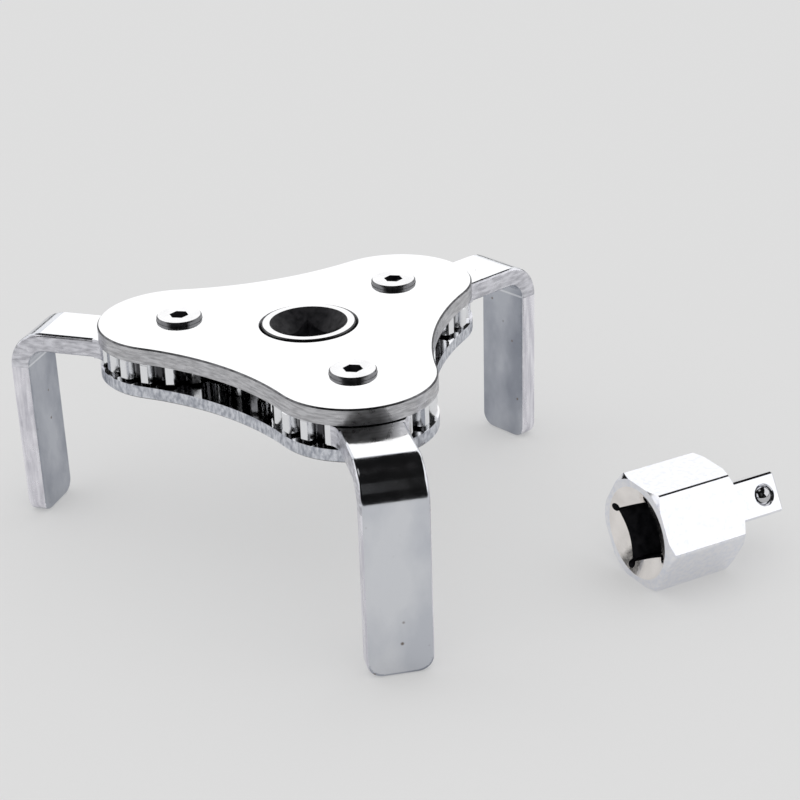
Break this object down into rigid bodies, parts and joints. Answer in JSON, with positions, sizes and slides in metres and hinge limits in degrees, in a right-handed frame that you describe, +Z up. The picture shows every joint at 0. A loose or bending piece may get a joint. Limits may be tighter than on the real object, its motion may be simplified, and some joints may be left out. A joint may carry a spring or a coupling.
{
  "type": "oil filter wrench",
  "caption": "Self-closing geared oil filter wrench: bent strip jaws swing in between two lobed plates as the central square drive turns, with a loose drive adapter beside it.",
  "frame": {"origin": "on the drive axis, in the top face of the hub, at the mouth of the square drive socket", "axes": "+Z up the drive axis, out of the socket; +X towards the pivot of jaw 1"},
  "size_m": [0.12, 0.1655, 0.0538],
  "materials": {
    "plate_chrome": "mirror-polished faces, linished edges",
    "hub_chrome": "turned and chrome plated",
    "jaw_chrome": "satin chrome over forged steel, small pits",
    "screw_chrome": "satin head, dark socket",
    "ground_steel": "ground",
    "plated_steel": "zinc plated",
    "adapter_chrome": "chrome with slight orange peel",
    "ball_steel": "polished bearing steel",
    "spring_steel": "drawn wire"
  },
  "bodies": {
    "frame": {"top_plate": "plate_chrome", "bottom_plate": "plate_chrome", "pivot_screw_1": "screw_chrome", "pivot_screw_2": "screw_chrome", "pivot_screw_3": "screw_chrome", "pivot_sleeve_1": "ground_steel", "pivot_sleeve_2": "ground_steel", "pivot_sleeve_3": "ground_steel", "thrust_washer_1": "ground_steel", "thrust_washer_2": "ground_steel", "thrust_washer_3": "ground_steel", "split_washer_1": "plated_steel", "split_washer_2": "plated_steel", "split_washer_3": "plated_steel", "pivot_nut_1": "plated_steel", "pivot_nut_2": "plated_steel", "pivot_nut_3": "plated_steel"},
    "drive": {"drive_gear": "hub_chrome"},
    "jaw_1": {"jaw_1": "jaw_chrome"},
    "jaw_2": {"jaw_2": "jaw_chrome"},
    "jaw_3": {"jaw_3": "jaw_chrome"},
    "adapter": {"adapter_body": "adapter_chrome", "detent_spring": "spring_steel"},
    "ball": {"detent_ball": "ball_steel"}
  },
  "joints": [
    {"name": "jaw_1_swing", "type": "hinge", "parent": "frame", "child": "jaw_1", "pos_m": [0.031, 0, -0.00695], "axis": [0, 0, 1], "range_deg": [-105, 121]},
    {"name": "jaw_2_swing", "type": "hinge", "parent": "frame", "child": "jaw_2", "pos_m": [-0.0155, 0.02685, -0.00695], "axis": [0, 0, 1], "range_deg": [-105, 121]},
    {"name": "jaw_3_swing", "type": "hinge", "parent": "frame", "child": "jaw_3", "pos_m": [-0.0155, -0.02685, -0.00695], "axis": [0, 0, 1], "range_deg": [-105, 121]},
    {"name": "drive_spin", "type": "hinge", "parent": "frame", "child": "drive", "pos_m": [0, 0, 0], "axis": [0, 0, 1], "range_deg": [-153.6, 133.3]},
    {"name": "adapter_lift", "type": "slide", "parent": "frame", "child": "adapter", "axis": [0, 0, 1], "range_m": [0, 0.04]},
    {"name": "ball_press", "type": "slide", "parent": "adapter", "child": "ball", "axis": [0.3188, 0.8052, -0.5], "range_m": [0, 0.0007], "stiffness_N_per_m": 200, "springref_m": -0.002, "deforming": ["detent_spring"]}
  ],
  "couplings": [
    {"joint": "jaw_2_swing", "follows": "jaw_1_swing", "ratio": 1},
    {"joint": "jaw_3_swing", "follows": "jaw_1_swing", "ratio": 1},
    {"joint": "drive_spin", "follows": "jaw_1_swing", "ratio": -1.2667}
  ]
}
